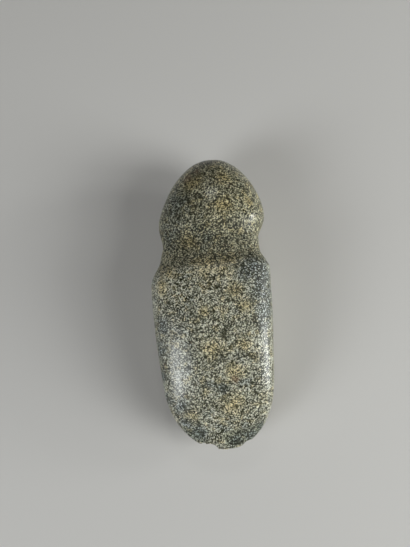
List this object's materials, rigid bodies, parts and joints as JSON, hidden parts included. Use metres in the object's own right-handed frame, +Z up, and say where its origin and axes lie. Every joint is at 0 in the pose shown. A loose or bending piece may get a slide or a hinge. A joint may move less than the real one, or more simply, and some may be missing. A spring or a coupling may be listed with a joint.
{
  "type": "polished stone axe",
  "caption": "Head of a grooved stone axe: rounded poll, hafting groove all round and a blade that tapers to a curved, slightly chipped bit.",
  "frame": {"origin": "on the ground under the middle of the stone, which lies on one of its two faces", "axes": "+Y along the stone from the bit to the poll, +X across the blade to the right as seen from above with the bit towards the viewer, +Z up out of the upper face"},
  "size_m": [0.0668, 0.165, 0.0457],
  "materials": {
    "speckled_stone": "satin"
  },
  "bodies": {
    "root": {"axe_head": "speckled_stone"}
  },
  "joints": []
}
